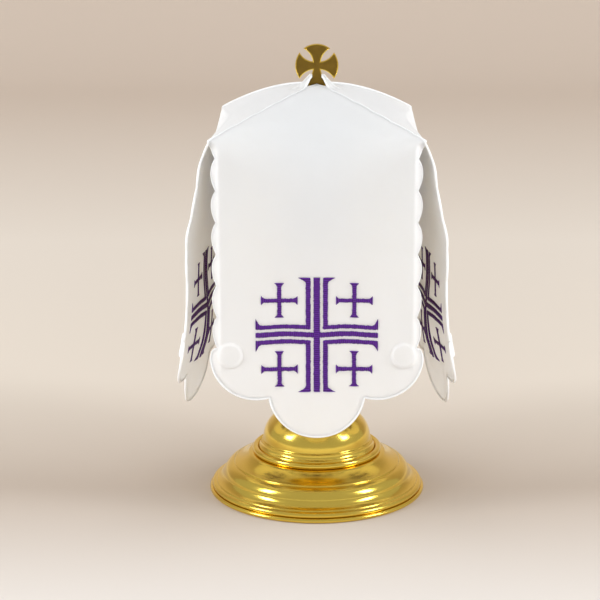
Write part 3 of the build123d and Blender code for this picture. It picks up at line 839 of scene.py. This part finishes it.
# ---------------------------------------------------------------- metal
def arc_points(start, through, end, count=14):
    """Points of the circle arc from start to end that passes through a third point."""
    (ax, ay), (bx, by), (cx, cy) = start, through, end
    d = 2 * (ax * (by - cy) + bx * (cy - ay) + cx * (ay - by))
    ux = ((ax**2 + ay**2) * (by - cy) + (bx**2 + by**2) * (cy - ay) + (cx**2 + cy**2) * (ay - by)) / d
    uy = ((ax**2 + ay**2) * (cx - bx) + (bx**2 + by**2) * (ax - cx) + (cx**2 + cy**2) * (bx - ax)) / d
    radius = math.hypot(ax - ux, ay - uy)
    first, middle, last = (math.atan2(y - uy, x - ux) for x, y in (start, through, end))
    turn = (last - first) % (2 * math.pi)
    if (middle - first) % (2 * math.pi) > turn:
        turn -= 2 * math.pi
    angle = first + np.linspace(0, 1, count) * turn
    return np.stack([ux + radius * np.cos(angle), uy + radius * np.sin(angle)], -1)


def outline(*stretches):
    """A profile of (radius, height) points in metres from stretches in millimetres.

    A stretch of two points is straight. A longer one is a run of arcs, each of which starts at the
    end of the one before it and passes through the point between.
    """
    parts = []
    for stretch in stretches:
        if len(stretch) == 2:
            parts.append(np.array(stretch, float))
        else:
            parts += [arc_points(*stretch[at : at + 3]) for at in range(0, len(stretch) - 2, 2)]
    profile = np.concatenate(parts) * MM
    apart = np.linalg.norm(np.diff(profile, axis=0), axis=1) > 1e-6
    return profile[np.concatenate([[True], apart])]


def turned_piece(name, profile, finish):
    """A closed profile of (radius, height) carried round the Z axis."""
    segments = bpy.context.scene.ciborium_metal.segments
    angle = np.linspace(0, 2 * np.pi, segments, endpoint=False)
    radius, height = profile[:, 0], profile[:, 1]
    points = np.stack(
        np.broadcast_arrays(
            radius[:, None] * np.cos(angle), radius[:, None] * np.sin(angle), height[:, None]
        ), -1,
    )
    quads = grid_faces(len(profile), segments, wrap_rows=True, wrap_columns=True)
    piece = mesh_piece(name, points.reshape(-1, 3), quads, material(finish))
    tidy_mesh(piece)
    return piece


# ---------------------------------------------------------------- operators
class CIBORIUM_OT_foot(bpy.types.Operator):
    """Turned and spun pieces of the foot"""

    bl_idname = "ciborium.foot"
    bl_label = "Foot"

    @staticmethod
    def spun(name, node, profile):
        """A turned piece of gilt brass that stands for its CAD node."""
        piece = turned_piece(name, profile, "gilt_brass")
        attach(piece, "vessel")
        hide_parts(node)

    def rim(self):
        """Rolled flange with a round edge."""
        return outline(
            [(59.5, 0), (61.3, 0)],
            [(61.3, 0), (62.5, 1.25), (61.3, 2.5)],
            [(61.3, 2.5), (59.5, 2.5)],
        )

    def shell(self):
        """Low step, cove, round step and cove, then the ledge, and back down the inside."""
        return outline(
            [(60.1, 2.5), (60.6, 2.6), (60.9, 2.9), (61.0, 4.3), (59.8, 5.3), (59.2, 5.5), (58.7, 5.6)],
            [(58.7, 5.6), (58.4, 6.1), (57.7, 6.4), (55.3, 7.9), (54.0, 9.9), (52.4, 13.9), (48.7, 16.3)],
            [(48.7, 16.3), (48.3, 16.4), (48.2, 16.9), (42.8, 19.3), (39.3, 22.4)],
            [(39.3, 22.4), (31.4, 22.4)],
            [(31.4, 21.2), (38.6, 21.2)],
            [(38.6, 21.2), (42.2, 18.2), (47.1, 15.9), (51.0, 13.2), (52.4, 9.6)],
            [(52.4, 9.6), (54.4, 6.7), (57.4, 4.9), (58.9, 4.0), (59.0, 2.5)],
        )

    def wire_ring(self):
        """Round wire on the ledge."""
        ring = np.linspace(0, 2 * np.pi, 32, endpoint=False)
        return np.stack([35.6 + 1.9 * np.cos(ring), 24.3 + 1.9 * np.sin(ring)], -1) * MM

    def bell(self):
        """Bell with a cove at its foot and a narrow neck, then back down the inside."""
        return outline(
            [(32.0, 22.4), (33.6, 22.4)],
            [(33.6, 22.4), (33.6, 26.3)],
            [(33.6, 26.3), (32.5, 27.3), (32.0, 28.8), (31.8, 29.5), (31.1, 29.8)],
            [(31.1, 29.8), (30.4, 35.4), (27.4, 41.0), (22.6, 45.6), (17.2, 49.4), (12.2, 53.2), (9.5, 58.0)],
            [(9.5, 58.0), (4.2, 58.0)],
            [(4.2, 56.8), (8.6, 56.8)],
            [(8.6, 56.8), (11.0, 52.4), (16.4, 48.4), (26.0, 40.8), (29.6, 30.2)],
            [(29.7, 29.0), (30.8, 28.2)],
            [(30.8, 28.2), (31.3, 26.8), (32.0, 25.4)],
        )

    def execute(self, context):
        self.spun("foot_rim_rolled", "foot_rim", self.rim())
        self.spun("foot_shell_spun", "foot_shell", self.shell())
        self.spun("foot_wire_ring_bright", "foot_wire_ring", self.wire_ring())
        self.spun("foot_bell_spun", "foot_bell", self.bell())
        return {"FINISHED"}


class CIBORIUM_OT_plain_metal(bpy.types.Operator):
    """Finishes of the stem, cup, lid, fastenings and felt, on their CAD shapes"""

    bl_idname = "ciborium.plain_metal"
    bl_label = "Stem, cup and lid"

    def execute(self, context):
        finishes = {entry["node"]: entry["material_slot"] for entry in frame["record"]["subparts"]}
        for name, node in frame["nodes"].items():
            finish = finishes[name]
            if finish in ("gilt_brass", "antique_brass", "steel", "felt"):
                node.data.materials.clear()
                node.data.materials.append(material(finish))
        return {"FINISHED"}


class CIBORIUM_OT_cross(bpy.types.Operator):
    """Flared cross on the lid, with bright bevelled edges"""

    bl_idname = "ciborium.cross"
    bl_label = "Cross"

    radius = 12.0
    corner = math.radians(37.7)
    inner = 2.2
    bow = 1.1

    def arm(self):
        """One upper arm: its round end and its two hollow sides, as (across, up) points in millimetres."""
        across, out = self.radius * math.sin(self.corner), self.radius * math.cos(self.corner)
        run = math.hypot(across - self.inner, out - self.inner)
        middle = (
            (across + self.inner) / 2 - self.bow * (out - self.inner) / run,
            (out + self.inner) / 2 + self.bow * (across - self.inner) / run,
        )
        side = arc_points((self.inner, self.inner), middle, (across, out), 12)
        end = arc_points((across, out), (0, self.radius), (-across, out), 16)
        other = side[::-1] * np.array([-1, 1])
        return np.concatenate([side, end[1:-1], other[:-1]])

    def rings(self, points, inset):
        """The outline moved inward by a distance, along the average normal of its two neighbours."""
        forward = unit(np.roll(points, -1, 0) - points)
        back = unit(points - np.roll(points, 1, 0))
        normal = np.stack([-(forward + back)[:, 1], (forward + back)[:, 0]], -1)
        normal = unit(normal)
        cosine = np.abs((normal * np.stack([-forward[:, 1], forward[:, 0]], -1)).sum(-1, keepdims=True))
        return points + normal * inset / np.maximum(cosine, 0.62)

    @staticmethod
    def stand(flat, depth):
        """Points (across, up) set upright at a depth."""
        return np.stack([flat[:, 0], np.full(len(flat), depth), flat[:, 1]], -1)

    def face(self, ring):
        """Grids of (across, up) points that fill the outline: four arms from side to side, and the middle."""
        arm_points = len(ring) // 4
        row = np.linspace(0, 1, 12)[:, None, None]
        column = np.linspace(0, 1, 16)[None, :, None]
        grids, corners = [], []
        for arm in range(4):
            turned = np.roll(ring, -arm * arm_points, 0)
            right, left, end = turned[:12, None], turned[arm_points:25:-1, None], turned[11:27]
            straight = right * (1 - column) + left * column
            grids.append(straight + row**2 * (end - straight[-1]))
            corners.append(turned[0])
        u, v = column, np.linspace(0, 1, 16)[:, None, None]
        near = corners[0] * (1 - u) + corners[1] * u
        far = corners[3] * (1 - u) + corners[2] * u
        grids.append(near * (1 - v) + far * v)
        return grids

    def execute(self, context):
        low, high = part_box("finial_cross")
        half = (high.y - low.y) / 2 / MM
        quarter = self.arm()
        turns = [quarter @ np.array([[math.cos(a), math.sin(a)], [-math.sin(a), math.cos(a)]])
                 for a in np.arange(4) * math.pi / 2]
        rim = np.concatenate(turns)
        levels = ((0.0, 0.0), (0.0, half - 0.45), (0.13, half - 0.13), (0.42, half), (0.62, half - 0.2))
        front = [(self.rings(rim, inset), depth) for inset, depth in levels]
        bevel = [(ring, -depth) for ring, depth in front[::-1]] + front[1:]
        points = [self.stand(ring, depth) for ring, depth in bevel]
        quads = [grid_faces(len(bevel), len(rim), wrap_columns=True)]
        count = len(bevel) * len(rim)
        bevel_quads = len(quads[0])
        for ring, depth in (bevel[0], bevel[-1]):
            for grid in self.face(ring):
                rows, columns = grid.shape[:2]
                points.append(self.stand(grid.reshape(-1, 2), depth))
                quads.append(grid_faces(rows, columns) + count)
                count += rows * columns
        points = np.concatenate(points) * MM + np.array((low + high) / 2)
        quads = np.concatenate(quads)
        piece = mesh_piece("finial_cross_bevelled", points, quads, material("antique_brass"))
        piece.data.materials.append(material("gilt_brass"))
        finish = (np.arange(len(quads)) < bevel_quads).astype(np.int32)
        piece.data.polygons.foreach_set("material_index", finish)
        tidy_mesh(piece)
        piece.data.set_sharp_from_angle(angle=math.radians(32))
        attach(piece, "lid")
        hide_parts("finial_cross")
        return {"FINISHED"}


class CIBORIUM_OT_veil(bpy.types.Operator):
    """Four sheets of the veil with their satin borders"""

    bl_idname = "ciborium.veil"
    bl_label = "Veil"

    def execute(self, context):
        for place in PLACES:
            sheet, area = veil_sheet(place)
            border = border_cord(place)
            for piece in (sheet, border):
                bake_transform(piece)
            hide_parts(f"gore_{place}", f"drop_{place}", f"weight_{place}_a", f"weight_{place}_b")
            if place == "left":
                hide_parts("slit_binding")
        return {"FINISHED"}


class CIBORIUM_OT_embroidery(bpy.types.Operator):
    """Purple crosses of triple bars, one through each panel"""

    bl_idname = "ciborium.embroidery"
    bl_label = "Embroidery"

    def execute(self, context):
        for place in PLACES:
            piece = embroidery(place)
            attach(piece, f"{place}_panel")
            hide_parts(f"embroidery_{place}")
        return {"FINISHED"}


class CIBORIUM_OT_stage(bpy.types.Operator):
    """Floor, backdrop, lights and camera"""

    bl_idname = "ciborium.stage"
    bl_label = "Stage"

    def floor(self):
        """Pale floor that curves up into a backdrop, with a painted shadow: its tone is darkest in a band right
        under the object, lighter in front, lightest some way behind and darker again towards the backdrop.
        """
        finish, tree, shader = new_material("pale_backdrop_painted_shadow")
        place = tree.nodes.new("ShaderNodeTexCoord").outputs["Object"]
        split = tree.nodes.new("ShaderNodeSeparateXYZ")
        tree.links.new(place, split.inputs["Vector"])
        away = math_node(tree, "MULTIPLY", math_node(tree, "ADD", split.outputs["Y"], 0.25), 1 / 2.75)
        ramp = tree.nodes.new("ShaderNodeValToRGB")
        # Painted shadow: the darkest stop, at 0.09, lies right under the object; the other stops give the
        # floor's tone from front to back.
        tones_with_painted_shadow = ((0.0, (0.78, 0.74, 0.70)), (0.09, (0.56, 0.47, 0.39)), (0.17, (0.73, 0.65, 0.56)),
                 (0.33, (0.82, 0.74, 0.65)), (0.62, (0.76, 0.65, 0.55)), (1.0, (0.73, 0.61, 0.51)))
        for number, (at, colour) in enumerate(tones_with_painted_shadow):
            stop = ramp.color_ramp.elements[number] if number < 2 else ramp.color_ramp.elements.new(at)
            stop.position = at
            stop.color = (*colour, 1)
        tree.links.new(away, ramp.inputs["Fac"])
        tree.links.new(ramp.outputs["Color"], shader.inputs["Base Color"])
        shader.inputs["Roughness"].default_value = 0.9
        shader.inputs["Specular IOR Level"].default_value = 0.1
        bend = np.linspace(0, np.pi / 2, 24)
        y = np.concatenate([[-3.0], 1.6 + 0.8 * np.sin(bend), [2.4]])
        z = np.concatenate([[0.0], 0.8 - 0.8 * np.cos(bend), [3.5]])
        x = np.array([-4.0, 4.0])
        points = np.stack(np.broadcast_arrays(x[None, :], y[:, None], z[:, None]), -1).reshape(-1, 3)
        piece = mesh_piece("backdrop", points, grid_faces(len(y), 2)[:, ::-1], finish)

    def softbox(self, name, place, size, power, mirrored=True):
        """Rectangular light aimed at the object's middle; one that isn't mirrored stays out of the gilt."""
        light = bpy.data.lights.new(name, "AREA")
        light.shape = "RECTANGLE"
        light.size, light.size_y = size
        light.energy = power
        light.color = (0.96, 0.98, 1.0)
        lamp = bpy.data.objects.new(name, light)
        lamp.location = place
        lamp.visible_glossy = mirrored
        direction = Vector((0, 0, 0.12)) - Vector(place)
        lamp.rotation_euler = direction.to_track_quat("-Z", "Y").to_euler()
        bpy.context.scene.collection.objects.link(lamp)

    def execute(self, context):
        stage = context.scene.ciborium_stage
        self.floor()
        for side in (-1, 1):
            self.softbox(f"key_{side}", (side * 0.98, -0.42, 0.66), (0.3, 0.45), 5.0)
            self.softbox(f"side_fill_{side}", (side * 2.3, 0.2, 0.9), (1.6, 1.4), 29.0, mirrored=False)
        self.softbox("front_fill", (0, -1.9, 0.35), (1.8, 1.0), 17.5, mirrored=False)
        world = bpy.data.worlds.new("studio")
        world.use_nodes = True
        background = world.node_tree.nodes["Background"]
        background.inputs["Color"].default_value = (0.97, 0.985, 1.0, 1)
        background.inputs["Strength"].default_value = 0.5
        context.scene.world = world
        context.scene.view_settings.view_transform = "Standard"
        data = bpy.data.cameras.new("camera")
        data.lens = stage.lens
        data.sensor_width = 36
        data.shift_x = stage.shift
        camera = bpy.data.objects.new("camera", data)
        camera.location = (0, -stage.distance, stage.height)
        camera.rotation_euler = (math.pi / 2 - stage.pitch, 0, 0)
        context.scene.collection.objects.link(camera)
        context.scene.camera = camera
        return {"FINISHED"}


SETTINGS = {"ciborium_veil": VeilSettings, "ciborium_metal": MetalSettings, "ciborium_stage": StageSettings}
STEPS = (
    CIBORIUM_OT_foot,
    CIBORIUM_OT_plain_metal,
    CIBORIUM_OT_cross,
    CIBORIUM_OT_veil,
    CIBORIUM_OT_embroidery,
    CIBORIUM_OT_stage,
)


class CIBORIUM_PT_panel(bpy.types.Panel):
    """Settings and steps of the ciborium"""

    bl_label = "Ciborium"
    bl_idname = "CIBORIUM_PT_panel"
    bl_space_type = "VIEW_3D"
    bl_region_type = "UI"
    bl_category = "Ciborium"

    def draw(self, context):
        for group in SETTINGS:
            settings = getattr(context.scene, group)
            for name in settings.bl_rna.properties.keys():
                if name not in ("rna_type", "name"):
                    self.layout.prop(settings, name)
        for step in STEPS:
            self.layout.operator(step.bl_idname)


CLASSES = (*SETTINGS.values(), *STEPS, CIBORIUM_PT_panel)


def register():
    """Adds the classes and their settings to the scene."""
    for cls in CLASSES:
        bpy.utils.register_class(cls)
    for name, group in SETTINGS.items():
        setattr(bpy.types.Scene, name, bpy.props.PointerProperty(type=group))


def unregister():
    """Removes what register added."""
    for name in SETTINGS:
        delattr(bpy.types.Scene, name)
    for cls in reversed(CLASSES):
        bpy.utils.unregister_class(cls)


def main():
    """Builds everything."""
    register()
    bpy.ops.ciborium.foot()
    bpy.ops.ciborium.plain_metal()
    bpy.ops.ciborium.cross()
    bpy.ops.ciborium.veil()
    bpy.ops.ciborium.embroidery()
    bpy.ops.ciborium.stage()


if __name__ == "__main__":
    main()
